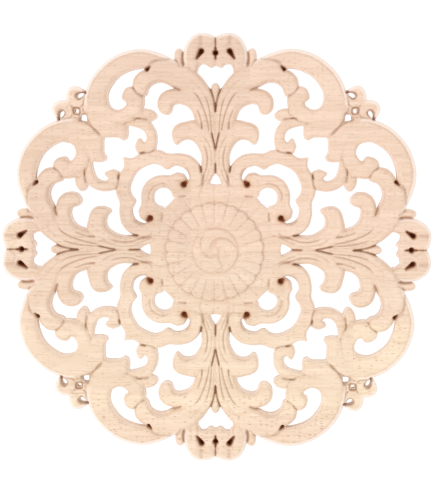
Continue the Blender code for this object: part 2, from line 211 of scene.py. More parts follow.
# Carved lines: half width, depth, points
VEINS = [
    # Stems and buds
    (0.5, 1.0, [(10, 43), (8.3, 46.4), (6.2, 50), (4.8, 53.4), (4.1, 57)]),
    (0.5, 1.4, [(9.3, 44), (9, 48), (8.6, 51), (7.5, 53.6), (6.4, 56.6), (5.7, 60), (5.6, 65), (6.6, 70.5),
                (8.6, 75)]),
    (0.45, 0.9, [(2.9, 54.5), (2.6, 60), (2.6, 66), (3.4, 70.5), (5.6, 76), (9.6, 80.6)]),
    (0.65, 3.2, [(10.8, 60.8), (10.4, 57.4), (9.9, 53.4)]),
    (0.6, 2.4, [(0, 61), (0, 56), (0, 51)]),
    (0.5, 3.2, [(0.1, 69.5), (0.8, 73.4), (1.8, 77.6), (2.9, 83)]),
    (0.45, 1.5, [(0, 68), (0.8, 74), (1.7, 77.2), (2.5, 80.2), (2.8, 85), (3.3, 92), (4.2, 98),
                 (5.8, 104), (8, 108.6)]),
    (0.45, 1.5, [(4, 80.8), (4.6, 84.6), (5.4, 89), (7, 95), (9.3, 101), (12.3, 106.6), (16.4, 110.6)]),
    (0.6, 1.3, [(9.0, 84.4), (9.5, 88.6), (11, 93.8), (13.0, 98.4)]),
    (0.6, 1.7, [(9.2, 83.6), (9.4, 86.4), (9.7, 89.6)]),
    (0.4, 0.7, [(1.2, 84), (1.4, 92), (2.3, 99), (4, 105.4)]),
    (0.45, 0.6, [(6.4, 104.6), (9, 109.6), (13, 114.6), (18, 118.6)]),
    (0.55, 2.4, [(0, 95.2), (0.4, 100), (1.7, 106), (3.2, 110.4), (4.2, 113.4)]),
    (0.5, 2.6, [(2.8, 109), (3.4, 110.8), (4.1, 113.2)]),
    (0.7, 3.2, [(0, 95.6), (0.1, 98.5), (0.6, 103)]),
    # Crests
    (0.5, 1.9, [(0, 137), (0, 149.5)]),
    (0.6, 4.0, [(0, 141), (0, 136.7), (0, 131.6)]),
    (1.7, 1.0, [(10.2, 149.2), (10, 145), (9.9, 141)]),
    (0.8, 1.9, [(22.3, 138), (22.9, 134), (22.9, 131), (22.5, 128.6), (22.0, 126.2)]),
    (0.5, 1.1, [(23.8, 126.2), (25.8, 128.8), (28.4, 132.8)]),
    (0.45, 0.8, [(12.6, 132.4), (12.4, 128), (13.2, 124)]),
    # Scrolls and their leaves
    (1.0, 0.9, [(29, 132.6), (35, 131.6), (40.6, 131.2), (44.4, 129.8), (46, 127)]),
    (0.6, 1.9, [(23.5, 110.6), (26.5, 111.8), (29.5, 112.6), (32, 112.6)]),
    (0.55, 1.2, [(49.8, 106.4), (52, 107.2), (54.4, 108.8), (56, 111), (57.9, 113.6)]),
    (0.5, 0.7, [(51.4, 95.6), (54, 92.2), (57.4, 89.6), (61.8, 88.2), (64, 87.2)]),
    (0.6, 1.3, [(79, 79), (82.5, 81.9), (86, 86.3), (89, 90.6), (91, 94), (92, 97)]),
    # Frames and volutes
    (0.8, 1.5, [(46, 90.4), (50.4, 91.2), (54.4, 91.4), (57, 90)]),
    (0.5, 2.8, [(51.6, 91.3), (53.4, 91.5), (55.6, 91.5)]),
    (0.5, 0.9, [(50.4, 97.6), (50.8, 95), (52.6, 92.6)]),
    (0.6, 1.3, [(41.8, 70.2), (44.4, 68.3), (48, 67.6), (51.6, 67.2), (54.4, 67.4)]),
    (0.6, 2.6, [(49, 68.0), (50.4, 67.7), (52.6, 67.4)]),
    (0.45, 1.0, [(33, 45.2), (37.5, 46.4), (41.8, 44.9), (44.9, 41.8), (46.4, 37.5), (45.8, 33)]),
    (1.7, 1.0, [(21.6, 47.0), (19.6, 48.8), (18.6, 51.6), (19.2, 54.8), (21.6, 57.8)]),
    (0.6, 1.2, [(20, 37.7), (23, 37.3), (26.5, 37.2)]),
    (0.6, 1.1, [(43.8, 12.5), (46, 9.8), (50, 8.4), (56, 7.8)]),
    # Around the berries
    (0.5, 1.5, [(90.6, 109), (91.4, 104), (92, 100.8), (94.6, 98.9)]),
    (0.5, 1.6, [(94.6, 99.0), (95.4, 98.4), (96, 98)]),
    (0.5, 1.3, [(91.6, 94.8), (91.9, 97), (92.2, 99.4)]),
    (0.5, 1.5, [(98.0, 98.0), (99.2, 99.2), (100.6, 100.6)]),
    (0.6, 3.0, [(94.2, 98.4), (96.4, 98.7), (98.8, 98.8)]),
    (0.5, 2.4, [(94.4, 94.2), (94.3, 96), (94.4, 98.6)]),
    (0.5, 1.8, [(91.6, 107.2), (93.2, 105.6), (94.8, 104.6), (96.4, 104.9)]),
    (0.5, 2.2, [(91.0, 109.6), (93.4, 109.4), (95.6, 109.0), (97.1, 107.6), (97.0, 105.4)]),
    (0.5, 1.9, [(89.4, 92.4), (89.9, 94.2), (91.0, 95.6)]),
    (0.5, 1.3, [(93.4, 91.0), (94.6, 92.6), (94.8, 94.2)]),
]

# Pits: x, y, radius and height of the floor at both ends of a tapering slit, or of one round hole
PITS = [
    [(22.0, 45.7, 1.5, 3.0), (20.8, 47.0, 0.8, 4.0)],       # the eye of a volute
    [(0.0, 136.5, 1.2, 1.6)],                               # middle of a crest
    [(9.8, 137.7, 1.15, 1.6), (13.1, 132.6, 0.2, 4.4)],     # beside it
    [(47.4, 125.1, 0.6, 2.8), (45.4, 127.0, 0.1, 4.6)],     # where a leaf meets a scroll
    [(91.0, 109.4, 0.7, 2.6), (92.0, 109.2, 0.4, 3.2)],     # at a berry
    [(93.2, 107.4, 0.8, 4.4), (95.0, 106.8, 1.7, 4.4)],     # in it
]
STEM_HOLE = (96.6, 96.6, 1.3)                   # through the stem of the berries: x, y and half its width
EYE_SHADE = (21.7, 46.1, 3.6)                      # painted shade, red-brown, around the eye of a volute: x, y and reach

# Medallion: the petals and the boss were carved a little off the middle of the openwork
MEDALLION = 45.4            # radius in the notches of its scalloped edge
SCALLOP = 0.7
SCALLOP_FULLNESS = 0.7
RIBBONS_END = 5             # how far inside that edge the ribbons and the veins may still reach
VEINS_END = 7
PETAL_CENTRE = (-0.6, -1.4)
PETALS = 24
PETAL_BULGE = 0.3
PETAL_FULLNESS = 0.5
OUTER_PETAL = 8.3
OUTER_FALL = 0.5
OUTER_SLOPE = (38, 8)
INNER_PETAL = 8.7
INNER_RISE = 1.1
INNER_SLOPE = (17, 12)
INNER_BULGE_SLOPE = (17, 5)
TIP = 32.2                  # radius of the inner petals where they meet, and how far a tip bulges
TIP_BULGE = 2.1
TIP_FALL = 0.5
TIP_SLOPE = (-1.0, 1.0)
TIP_LINE = 0.35             # the cut around the tips: how far out, its half width and its depth
TIP_LINE_WIDTH = 0.5
TIP_LINE_DEPTH = 0.65
SEAM = 0.42                 # half width of the cut between two petals
SEAM_DEPTH = 0.75
SEAM_SLOPE = (17.5, 6)
SEAM_OUTER_LOSS = 0.4       # the seams of the outer ring are shallower by this share
SEAM_OUTER_SLOPE = (34, 3)

BOSS_CENTRE = (0.1, -0.6)
BOSS = 16.3
BOSS_SLOPE = (BOSS, 0.8)    # the petals' lines set in outside the boss
BOSS_LINE_WIDTH = 0.6
BOSS_LINE_DEPTH = 0.45
BOSS_CROWN = 0.8
BUTTON = 2.6
BUTTON_HEIGHT = 9.4
BUTTON_CROWN = 1.5
WHIRL_ROOTS = (82, -66, -176)
WHIRL_SWEEP = math.radians(178)
WHIRL_FLOOR = 8.4
WHIRL_RIM = BOSS - 0.4
COMMA_END = BOSS - 1.4      # radius that the inner edge of a comma reaches
COMMA_CURL = 1.3
COMMA_LEAST = 0.01
COMMA_FLANK = 1.4
COMMA_RISE = 1.9
COMMA_FALL = 0.35           # share of its rise that a comma loses toward its end
FLUTES = 3
FLUTE_DEPTH = 0.32
FLUTE_FLOOR = 0.68

# Painted shade in the wood's colour: how much depth gives the full painted shade, and slopes by the wood
# around a point
HOLLOW_FULL = 1.2
HOLLOW_CLEAR = (0.72, 0.26)
LINE_FULL = 2.2
PIT_TOP = 6.8
PIT_FULL = 4.6
PIT_CLEAR = (0.7, 0.25)
FULL_SHADE = 1.2            # the painted highlight and shade are full above this height and gone at the back

# Bare wood: staves in metres, noise sizes in millimetres. A ramp is pairs of a value and what it becomes
STAVE_HEIGHT = 0.0505
STAVE_LENGTH = 0.115
STAVE_SHIFT = 0.052
ROW_STEP = 7.31             # keeps the staves of different rows from sharing a number
PANEL = 0.30
WOOD_PINK = (0.780, 0.594, 0.470)
WOOD_YELLOW = (0.848, 0.694, 0.528)
YELLOW_BY_HEIGHT = [(0.0, 0.22), (0.10, 0.3), (0.16, 0.9), (0.31, 0.9), (0.36, 0.5), (0.5, 0.36),
                    (0.55, 0.12), (1.0, 0.12)]
STAVE_VARIETY = 0.55
STAVE_BRIGHTNESS = [(0.0, 0.955), (1.0, 1.03)]
NOISE_ROUGHNESS = 0.6
FIGURE = (120, 3.4, 3.4)
FIGURE_BEND = 0.6
FIGURE_SHADES = [(0.30, (0.95, 0.92, 0.89)), (0.60, (1.02, 1.02, 1.02))]
GRAIN = (22, 0.9, 0.9)
GRAIN_SHADES = [(0.25, (0.90, 0.865, 0.83)), (0.55, (1.0, 1.0, 1.0)), (0.85, (1.04, 1.04, 1.04))]
GRAIN_ROUGHNESS = [(0.2, 0.72), (0.8, 0.58)]
CLOUD = (50, 16, 16)
CLOUD_SHADES = [(0.3, (0.97, 0.955, 0.94)), (0.7, (1.02, 1.02, 1.03))]
STREAK = (30, 0.75, 0.75)
STREAK_PICK = [(0.63, 0.0), (0.76, 1.0)]
STREAK_LEAST = 0.15
STREAK_VARIETY = 0.4
PORES_PER_METRE = (260, 1150, 1150)
PORE_CORE = [(0.10, 1.0), (0.40, 0.0)]
PORE_PICK = [(0.62, 0.0), (0.70, 1.0)]
PORE_LEAST = 0.32
PORE_VARIETY = 0.6
PORE_BROWN = (0.42, 0.24, 0.15, 1.0)
# Painted highlight: the wood paler near the openings and along the outer band
HIGHLIGHT_PALE = (0.92, 0.80, 0.73, 1.0)
HIGHLIGHT_SHARE = 0.8
# Painted shade, red-brown, around the volutes' eyes
EYE_SHADE_BROWN = (0.76, 0.46, 0.26, 1.0)
EYE_SHADE_SHARE = 0.55
# Painted shade: brown in hollows and along the carved lines
SHADE_BROWN = (0.34, 0.18, 0.10, 1.0)
# Painted shade in the pits: red-brown at their rims, dark brown deep down
PIT_SHADE_RED = (0.42, 0.145, 0.045, 1.0)
PIT_SHADE_BROWN = (0.115, 0.016, 0.002, 1.0)
# Painted shade: brown in hollows and carved lines, red-brown to dark brown in pits
PAINTED_SHADES = [
    ("crease_shade", [(0.08, 0.0), (0.9, 0.34)], SHADE_BROWN),
    ("line", [(0.1, 0.0), (0.85, 0.6)], SHADE_BROWN),
    # painted shade in the pits
    ("pit", [(0.0, 0.0), (0.45, 0.8)], PIT_SHADE_RED),
    ("pit", [(0.45, 0.0), (0.98, 0.96)], PIT_SHADE_BROWN),
]
SHINE = 0.25
GRAIN_BUMP = 0.5            # the grain's height beside that of a pore
BUMP_STRENGTH = 0.35
BUMP_HEIGHT = 0.00012

# Stage, light and camera
FLOOR_HALF = 1.5
FLOOR_HEIGHT = -1.3
FLOOR_WHITE = (0.86, 0.86, 0.85, 1.0)
FLOOR_ROUGHNESS = 0.8
WORLD_STRENGTH = 1.06
KEY_PLACE = (-1.5, -2.1, -0.8)
KEY_SIZE = 0.8
KEY_POWER = 14.0
PHOTO_HEIGHT = 495          # the photo's rows, and the width of one of its pixels at the panel
PIXEL = 0.0006970
FILM = 36.0
FACE_DEPTH = 0.008
CAMERA_AWAY = 0.9
CAMERA_TURN = math.radians(2.0)
CAMERA_RISE = math.radians(5.0)
CAMERA_RIGHT = 0.00143
CAMERA_UP = 0.00170


def spline(points, steps):
    """Points on a Catmull-Rom curve through the given ones, with that many steps for each span."""
    points = np.array(points, float)
    ends = np.vstack([2 * points[:1] - points[1:2], points, 2 * points[-1:] - points[-2:-1]])
    t = (np.arange(steps) / steps)[:, None]
    spans = []
    for p, q, r, s in zip(ends, ends[1:], ends[2:], ends[3:]):
        square = (2 * p - 5 * q + 4 * r - s) * t ** 2
        cube = (3 * q - p - 3 * r + s) * t ** 3
        spans.append(0.5 * (2 * q + (r - p) * t + square + cube))
    return np.vstack([*spans, points[-1:]])


def smooth(t):
    t = np.clip(t, 0, 1)
    return t * t * (3 - 2 * t)


def rising(value, start, reach):
    """0 up to the start, then smoothly up to 1 over the reach."""
    return smooth((value - start) / reach)


def bell(distance, half_width):
    """1 in the middle, falling off to both sides."""
    return np.exp(-(distance / half_width) ** 2)


def quarter_round(distance, reach):
    """0 at an edge, rounding up to 1 over the reach."""
    return np.sin(np.pi / 2 * np.clip(distance / reach, 0, 1))


def blurred(field, times):
    """The map after that many passes of a small smoothing; it mirrors over its first row and column."""
    for _ in range(times):
        for axis in (0, 1):
            padded = np.pad(field, [(2, 2) if a == axis else (0, 0) for a in (0, 1)], mode="reflect")
            size = field.shape[axis]
            cut = [np.take(padded, range(k, k + size), axis=axis) for k in range(5)]
            field = (cut[0] + 4 * cut[1] + 6 * cut[2] + 4 * cut[3] + cut[4]) / 16
    return field


def halved(grid):
    """The cells of a grid as two triangles each."""
    a, b, c, d = grid[:-1, :-1], grid[1:, :-1], grid[1:, 1:], grid[:-1, 1:]
    halves = [np.stack(corners, 2).reshape(-1, 3, grid.shape[2]) for corners in ([a, b, c], [a, c, d])]
    return np.concatenate(halves)


def ribbon_triangles(stations):
    """A ribbon's triangles: corners in map points, and the share along, share across and width there."""
    curve = spline(stations, ALONG)
    left, right = curve[:, None, :2], curve[:, None, 2:]
    across = np.linspace(0, 1, ACROSS + 1)
    along = np.linspace(0, 1, len(curve))[:, None]
    width = np.linalg.norm(curve[:, 2:] - curve[:, :2], axis=1)[:, None]
    place = left + (right - left) * across[None, :, None]
    return halved(place) / FINE, halved(np.stack(np.broadcast_arrays(along, across, width), axis=2))


def corner_weights(x, y, corners):
    """How much each corner of a triangle counts at the points: none is negative inside it."""
    ax, ay, bx, by, cx, cy = [corners[:, k, axis, None, None] for k in range(3) for axis in range(2)]
    area = (bx - ax) * (cy - ay) - (cx - ax) * (by - ay)
    area = np.where(np.abs(area) < SLIVER, SLIVER, area)
    second = ((x - ax) * (cy - ay) - (cx - ax) * (y - ay)) / area
    third = ((bx - ax) * (y - ay) - (x - ax) * (by - ay)) / area
    return 1 - second - third, second, third


def covered(stations):
    """The map points under a ribbon: row, column, share along, share across and the width."""
    corners, data = ribbon_triangles(stations)
    low = np.floor(corners.min(1)).astype(int)
    window = np.arange(int((np.ceil(corners.max(1)) - low).max()) + 1)
    x, y = np.broadcast_arrays(low[:, 0, None, None] + window[:, None], low[:, 1, None, None] + window)
    weights = corner_weights(x, y, corners)
    inside = (np.minimum.reduce(weights) >= -ON_EDGE) & (x >= 0) & (y >= 0) & (x < SIDE) & (y < SIDE)
    triangle = np.nonzero(inside)[0]
    values = sum(w[inside][:, None] * data[triangle, k] for k, w in enumerate(weights))
    return y[inside], x[inside], *values.T


def bend_through(values, t):
    """A bend from the first value through the middle one to the last."""
    start, middle, end = values
    return start * (1 - t) * (1 - 2 * t) + middle * 4 * t * (1 - t) + end * t * (2 * t - 1)


def rim_section(left, right):
    """A bead along the outer side, a groove and a face that rounds off inward."""
    bead = BEAD_RISE * quarter_round(left, BEAD)
    groove = GROOVE_DEPTH * bell(left - GROOVE, GROOVE_WIDTH)
    inner_side = RIM_INNER_EDGE + RIM_INNER_RISE * rising(right, 0, RIM_INNER)
    return (bead + RIM_RISE * rising(left, *RIM_SLOPE) - groove) * inner_side


def moulding_section(left, right):
    """A roll along the outer side, a cove and a lip."""
    cove = 1 - COVE_DEPTH * rising(left, *COVE_SLOPE) + LIP_RISE * bell(right - LIP, LIP_WIDTH)
    inner_side = MOULDING_INNER_EDGE + MOULDING_INNER_RISE * rising(right, 0, MOULDING_INNER)
    return quarter_round(left, ROLL) * cove * inner_side


def section(kind, across, width):
    """Share of the crest's rise at that share of the way across a ribbon."""
    left, right = across * width, (1 - across) * width
    near = np.minimum(left, right)
    if kind == "rim":
        return rim_section(left, right)
    if kind == "moulding":
        return moulding_section(left, right)
    if kind == "leaf":
        fold = bell((across - 0.5) * width, FOLD_WIDTH) * rising(width, *FOLD_SLOPE)
        return quarter_round(near, np.minimum(width / 2, LEAF_FLANK)) * (1 - FOLD_DEPTH * fold)
    return quarter_round(near, np.minimum(width / 2, DOME_FLANK)) ** DOME_FULLNESS


def segment_distance(x, y, start, end):
    """Distance from each map point to a segment, and the share of the way along it."""
    (ax, ay), (bx, by) = start[:2], end[:2]
    dx, dy = bx - ax, by - ay
    t = np.clip(((x - ax) * dx + (y - ay) * dy) / (dx * dx + dy * dy + 1e-12), 0, 1)
    return np.hypot(x - ax - t * dx, y - ay - t * dy), t


def groove_depth(x, y, half_width, depth, points):
    """A carved line that runs out at both ends."""
    curve = spline(points, VEIN_STEPS)
    spans = len(curve) - 1
    nearest = np.full(x.shape, np.inf)
    along = np.zeros(x.shape)
    for k, (start, end) in enumerate(zip(curve, curve[1:])):
        distance, t = segment_distance(x, y, start, end)
        closer = distance < nearest
        nearest = np.where(closer, distance, nearest)
        along = np.where(closer, (k + t) / spans, along)
    fade = rising(along, 0, VEIN_RUN_OUT) * rising(1 - along, 0, VEIN_RUN_OUT) * (1 - VEIN_END) + VEIN_END
    return depth * fade * bell(nearest, half_width)


def window_around(points, margin):
    """Slices of the quarter map that hold the points with a margin."""
    places = np.array([point[:2] for point in points])
    low = np.clip(((places.min(0) - margin) / FINE).astype(int), 0, SIDE)
    high = np.clip(((places.max(0) + margin) / FINE).astype(int) + 2, 0, SIDE)
    return slice(low[1], high[1]), slice(low[0], high[0])


def highlight_band(along, across, width):
    """A painted highlight: the paler wood beside the left edge of an outer ribbon."""
    inward = 1 - rising(across * width, HIGHLIGHT_BAND_WIDTH, HIGHLIGHT_BAND_WIDTH)
    return inward * rising(along, 0, HIGHLIGHT_START) * rising(1 - along, 0, HIGHLIGHT_END)


def eighth(x, y):
    """The ribbons mirrored over the diagonal: heights, minus infinity where open, and the outer band of
    painted highlight.
    """
    height = np.full(x.shape, -np.inf)
    band = np.zeros(x.shape)
    for kind, crest, stations in RIBBONS:
        row, column, along, across, width = covered(stations)
        rise = bend_through(crest, along) - EDGE
        np.maximum.at(height, (row, column), EDGE + rise * section(kind, across, width))
        # painted highlight along the outer side of rims and brows
        if kind in ("rim", "brow"):
            np.maximum.at(band, (row, column), highlight_band(along, across, width))
    hole_x, hole_y, hole_reach = STEM_HOLE
    height[np.maximum(np.abs(x - hole_x), np.abs(y - hole_y)) < hole_reach] = -np.inf
    return np.where(x <= y, height, height.T), np.where(x <= y, band, band.T)


def carved(x, y):
    """The quarter map of what veins and pits take away: depth of the veins, and the height of the pits."""
    depth = np.zeros(x.shape)
    pit = np.full(x.shape, np.inf)
    for half_width, deep, points in VEINS:
        part = window_around(points, VEIN_MARGIN * half_width)
        depth[part] = np.maximum(depth[part], groove_depth(x[part], y[part], half_width, deep, points))
    for ends in PITS:
        part = window_around(ends, PIT_MARGIN)
        start, end = ends[0], ends[-1]
        distance, t = segment_distance(x[part], y[part], start, end)
        radius, floor = [start[k] + (end[k] - start[k]) * t for k in (2, 3)]
        pit[part] = np.minimum(pit[part], floor + PIT_SLOPE * np.maximum(distance - radius, 0))
    return np.maximum(depth, depth.T), np.minimum(pit, pit.T)


def medallion_outline(x, y):
    """How far inside the scalloped edge of the medallion a point is."""
    bulge = np.abs(np.sin(np.arctan2(y, x) * PETALS / 2)) ** SCALLOP_FULLNESS
    return MEDALLION + SCALLOP * bulge - np.hypot(x, y)


def petal_rings(r, turn):
    """The inner ring of petals over the outer one: the heights, and how deep the lines are cut."""
    share = (turn * PETALS / (2 * np.pi)) % 1
    bulge = np.sin(np.pi * share) ** PETAL_FULLNESS
    outer = OUTER_PETAL - OUTER_FALL * rising(r, *OUTER_SLOPE) + PETAL_BULGE * bulge
    tip = TIP + TIP_BULGE * bulge
    inner = INNER_PETAL + INNER_RISE * rising(r, *INNER_SLOPE)
    inner = inner + PETAL_BULGE * bulge * rising(r, *INNER_BULGE_SLOPE)
    inner = inner - TIP_FALL * rising(r - tip, *TIP_SLOPE)
    seam = bell(np.minimum(share, 1 - share) * r * 2 * np.pi / PETALS, SEAM)
    cut = SEAM_DEPTH * seam * rising(r, *SEAM_SLOPE) * (1 - SEAM_OUTER_LOSS * rising(r, *SEAM_OUTER_SLOPE))
    under = TIP_LINE_DEPTH * bell(r - tip - TIP_LINE, TIP_LINE_WIDTH)
    return np.where(r < tip, inner, outer), np.maximum(cut, under)


def medallion(x, y):
    """The petals around the boss: the heights, and how deep the petals' lines are cut."""
    px, py = x - PETAL_CENTRE[0], y - PETAL_CENTRE[1]
    face, cut = petal_rings(np.hypot(px, py), np.arctan2(py, px))
    bx, by = x - BOSS_CENTRE[0], y - BOSS_CENTRE[1]
    r = np.hypot(bx, by)
    cut = cut * rising(r, *BOSS_SLOPE)
    face = np.where(r <= BOSS, whirl(r, np.arctan2(by, bx)), face)
    return face - cut - BOSS_LINE_DEPTH * bell(r - BOSS, BOSS_LINE_WIDTH), cut


def inner_edge(t):
    """Radius of the inner edge of a comma, that share of the way round."""
    return BUTTON + (COMMA_END - BUTTON) * np.clip(t, 0, 1) ** COMMA_CURL


def comma(r, turn, root, former):
    """Where the comma with that root lies, and how far it rises; the former comma lies outside it."""
    lap = math.radians((former - root) % 360) / WHIRL_SWEEP
    t = ((math.radians(root) - turn) % (2 * np.pi)) / WHIRL_SWEEP
    low = inner_edge(t)
    high = np.where(t < 1 - lap, np.minimum(inner_edge(t + lap), WHIRL_RIM), WHIRL_RIM)
    width = np.maximum(high - low, COMMA_LEAST)
    s = (r - low) / width
    near = np.minimum(np.minimum(s, 1 - s) * width, t * WHIRL_SWEEP * r)
    flutes = FLUTE_FLOOR + FLUTE_DEPTH * (0.5 - 0.5 * np.cos(2 * np.pi * FLUTES * s))
    rise = COMMA_RISE * quarter_round(near, COMMA_FLANK) * flutes * (1 - COMMA_FALL * t)
    return (t <= 1) & (s >= 0) & (s <= 1), rise


def whirl(r, turn):
    """Three fluted commas that turn clockwise around a button."""
    heights = np.full(r.shape, WHIRL_FLOOR)
    for root, former in zip(WHIRL_ROOTS, WHIRL_ROOTS[-1:] + WHIRL_ROOTS[:-1]):
        here, rise = comma(r, turn, root, former)
        heights = np.where(here, WHIRL_FLOOR + rise, heights)
    heights = heights + BOSS_CROWN * (1 - (r / BOSS) ** 2)
    button = BUTTON_HEIGHT + BUTTON_CROWN * np.sqrt(np.clip(1 - (r / BUTTON) ** 2, 0, 1))
    return np.maximum(heights, np.where(r < BUTTON, button, 0))


def unfolded(quarter):
    """The whole map from its upper right quarter."""
    half = np.concatenate([quarter[:, :0:-1], quarter], axis=1)
    return np.concatenate([half[:0:-1], half], axis=0)


def rough_noise(shape, cells, seed):
    """Smooth random bumps from -1 to 1."""
    rng = np.random.default_rng(seed)
    grid = rng.uniform(-1, 1, (cells, cells))
    index = [np.linspace(0, cells - 1.001, n) for n in shape]
    i, j = [a.astype(int) for a in index]
    fi, fj = smooth(index[0] - i)[:, None], smooth(index[1] - j)[None, :]
    a, b = grid[np.ix_(i, j)], grid[np.ix_(i, j + 1)]
    c, d = grid[np.ix_(i + 1, j)], grid[np.ix_(i + 1, j + 1)]
    return (a * (1 - fj) + b * fj) * (1 - fi) + (c * (1 - fj) + d * fj) * fi


def quarter_maps():
    """The maps of the upper right quarter, by name."""
    axis = np.arange(SIDE) * FINE
    x, y = np.meshgrid(axis, axis)
    ribbons, band = eighth(x, y)
    veins, pits = carved(x, y)
    # painted shade around the volutes' eyes
    eye_shade = bell(np.hypot(x - EYE_SHADE[0], y - EYE_SHADE[1]), EYE_SHADE[2])
    rim = medallion_outline(x, y)
    wood = (np.isfinite(ribbons) | (rim > 0)).astype(float)
    return {"ribbons": ribbons, "band": band, "veins": veins, "pits": pits, "rim": rim,
            "eye_shade": np.maximum(eye_shade, eye_shade.T),
            "cover": blurred(wood, COVER_BLUR), "around": blurred(wood, AROUND_BLUR)}


def whole_face(maps, side):
    """Heights of the whole face, minus infinity where it is open, and how deep its lines are cut."""
    ribbons, rim = maps["ribbons"], maps["rim"]
    face, cut = medallion(*np.meshgrid(side, side))
    face = np.where(rim > 0, face, -np.inf)
    height = np.where(rim > RIBBONS_END, face, np.maximum(ribbons, face))
    line = np.where(rim > VEINS_END, 0, maps["veins"])
    height = np.where(rim > VEINS_END, height, np.minimum(height - line, maps["pits"]))
    return height, np.maximum(line, np.where((rim > 0) & (ribbons < face), cut, 0))


def averaged(height, known):
    """The mean of the known heights around each point, and how much of the surroundings is known."""
    total, reach = blurred(np.where(known, height, 0), HEIGHT_BLUR), blurred(known.astype(float), HEIGHT_BLUR)
    return np.where(reach > FAINT, total / np.maximum(reach, FAINT), 0), reach


def softened(height):
    """The heights lightly smoothed, and spread a little way out over the openings."""
    height, reach = averaged(height, np.isfinite(height))
    for _ in range(SPREADS):
        known = reach > FAINT
        further, reach = averaged(height, known)
        height = np.where(known, height, further)
    return height


def hollows(cover, height):
    """How far each point lies under the mean height of the wood around it."""
    wood = (cover > OUTLINE).astype(float)
    return blurred(wood * height, HOLLOW_BLUR) / np.maximum(blurred(wood, HOLLOW_BLUR), 1e-3) - height


def relief():
    """The whole map at the mesh's pitch: cover, heights, the painted highlight and shade of the wood's
    colour, and its coordinates.
    """
    maps = {name: unfolded(quarter) for name, quarter in quarter_maps().items()}
    side = np.arange(-(SIDE - 1), SIDE) * FINE
    height, maps["line"] = whole_face(maps, side)
    maps["height"] = softened(height)
    pick = slice(None, None, COARSEN)
    cover, height, around, line, band, eye_shade = [
        maps[name][pick, pick] for name in ("cover", "height", "around", "line", "band", "eye_shade")]
    near_opening = 1 - rising(around, *ARRIS)
    shades = {
        # painted shade in hollows and along the carved lines
        "crease_shade": np.clip(hollows(cover, height) / HOLLOW_FULL, 0, 1) * rising(around, *HOLLOW_CLEAR),
        "line": np.clip(line / LINE_FULL, 0, 1),
        # painted shade in the pits
        "pit": np.clip((PIT_TOP - height) / PIT_FULL, 0, 1) * rising(around, *PIT_CLEAR),
        # painted highlight near the openings and along the outer band
        "edge": np.maximum(near_opening, band),
        # painted shade around the volutes' eyes
        "eye_shade": eye_shade,
    }
    height = height - ARRIS_DROP * near_opening
    for size, bumps, seed in TOOL_MARKS:
        height = height + size * rough_noise(height.shape, bumps, seed)
    return cover, height, shades, side[pick]


def crossings(cover, height, side, down, right):
    """Points where the outline crosses the lines to the neighbours that far on, and those lines' places."""
    n = len(side)
    wood = cover > OUTLINE
    i, j = np.nonzero(wood[:n - down, :n - right] != wood[down:, right:])
    here, there = cover[i, j], cover[i + down, j + right]
    t = np.clip((OUTLINE - here) / (there - here), NEAREST_CROSSING, 1 - NEAREST_CROSSING)
    z = height[i, j] * (1 - t) + height[i + down, j + right] * t
    pitch = side[1] - side[0]
    return np.stack([side[j] + t * right * pitch, side[i] + t * down * pitch, z], 1), (i, j)


def numbered(n, places, first):
    """A table of point numbers at those places of the map, counted from the first, and -1 elsewhere."""
    table = -np.ones((n, n), int)
    table[places] = first + np.arange(len(places[0]))
    return table


def outline_faces(cover, height, side):
    """Marching squares: points and faces of the part of the map inside the outline."""
    n = len(side)
    i, j = np.nonzero(cover > OUTLINE)
    inner = np.stack([side[j], side[i], height[i, j]], 1)
    across, across_places = crossings(cover, height, side, 0, 1)
    upward, upward_places = crossings(cover, height, side, 1, 0)
    at = numbered(n, (i, j), 0)
    beside = numbered(n, across_places, len(inner))
    above = numbered(n, upward_places, len(inner) + len(across))
    ring = [at[:-1, :-1], beside[:-1, :-1], at[:-1, 1:], above[:-1, 1:],
            at[1:, 1:], beside[1:, :-1], at[1:, :-1], above[:-1, :-1]]
    cells = np.stack(ring, 2).reshape(-1, 8)
    used = cells >= 0
    faces = []
    for size in range(3, 9):
        rows = used.sum(1) == size
        if rows.any():
            faces.append(cells[rows][used[rows]].reshape(-1, size))
    return np.vstack([inner, across, upward]), faces


def rim_edges(faces, n):
    """The edges that only one face of the front has."""
    pairs = []
    for face in faces:
        corners = face.shape[1]
        pairs.extend(np.stack([face[:, k], face[:, (k + 1) % corners]], 1) for k in range(corners))
    pairs = np.concatenate(pairs)
    return pairs[~np.isin(pairs[:, 0] * n + pairs[:, 1], pairs[:, 1] * n + pairs[:, 0])]


def panel_mesh(cover, height, side):
    """A closed mesh: carved front, sawn walls and a flat back."""
    points, faces = outline_faces(cover, height, side)
    n = len(points)
    low = points.copy()
    low[:, 2] = 0
    rim = rim_edges(faces, n)
    walls = np.stack([rim[:, 1], rim[:, 0], rim[:, 0] + n, rim[:, 1] + n], 1)
    listed = []
    for group in [*faces, *[face[:, ::-1] + n for face in faces], walls]:
        listed.extend(group.tolist())
    mesh = bpy.data.meshes.new("carved_relief")
    mesh.from_pydata(np.vstack([points, low]).tolist(), [], listed)
    mesh.update()
    return mesh


def thinned(mesh):
    """The mesh as an object with fewer triangles: flat places give way first."""
    piece = bpy.data.objects.new("carved_relief", mesh)
    bpy.context.scene.collection.objects.link(piece)
    step = piece.modifiers.new("thin", "DECIMATE")
    step.ratio = TRIANGLES / sum(len(f.vertices) - 2 for f in mesh.polygons)
    step.use_collapse_triangulate = True
    graph = bpy.context.evaluated_depsgraph_get()
    thin = bpy.data.meshes.new_from_object(piece.evaluated_get(graph), depsgraph=graph)
    piece.modifiers.clear()
    piece.data = thin
    return piece


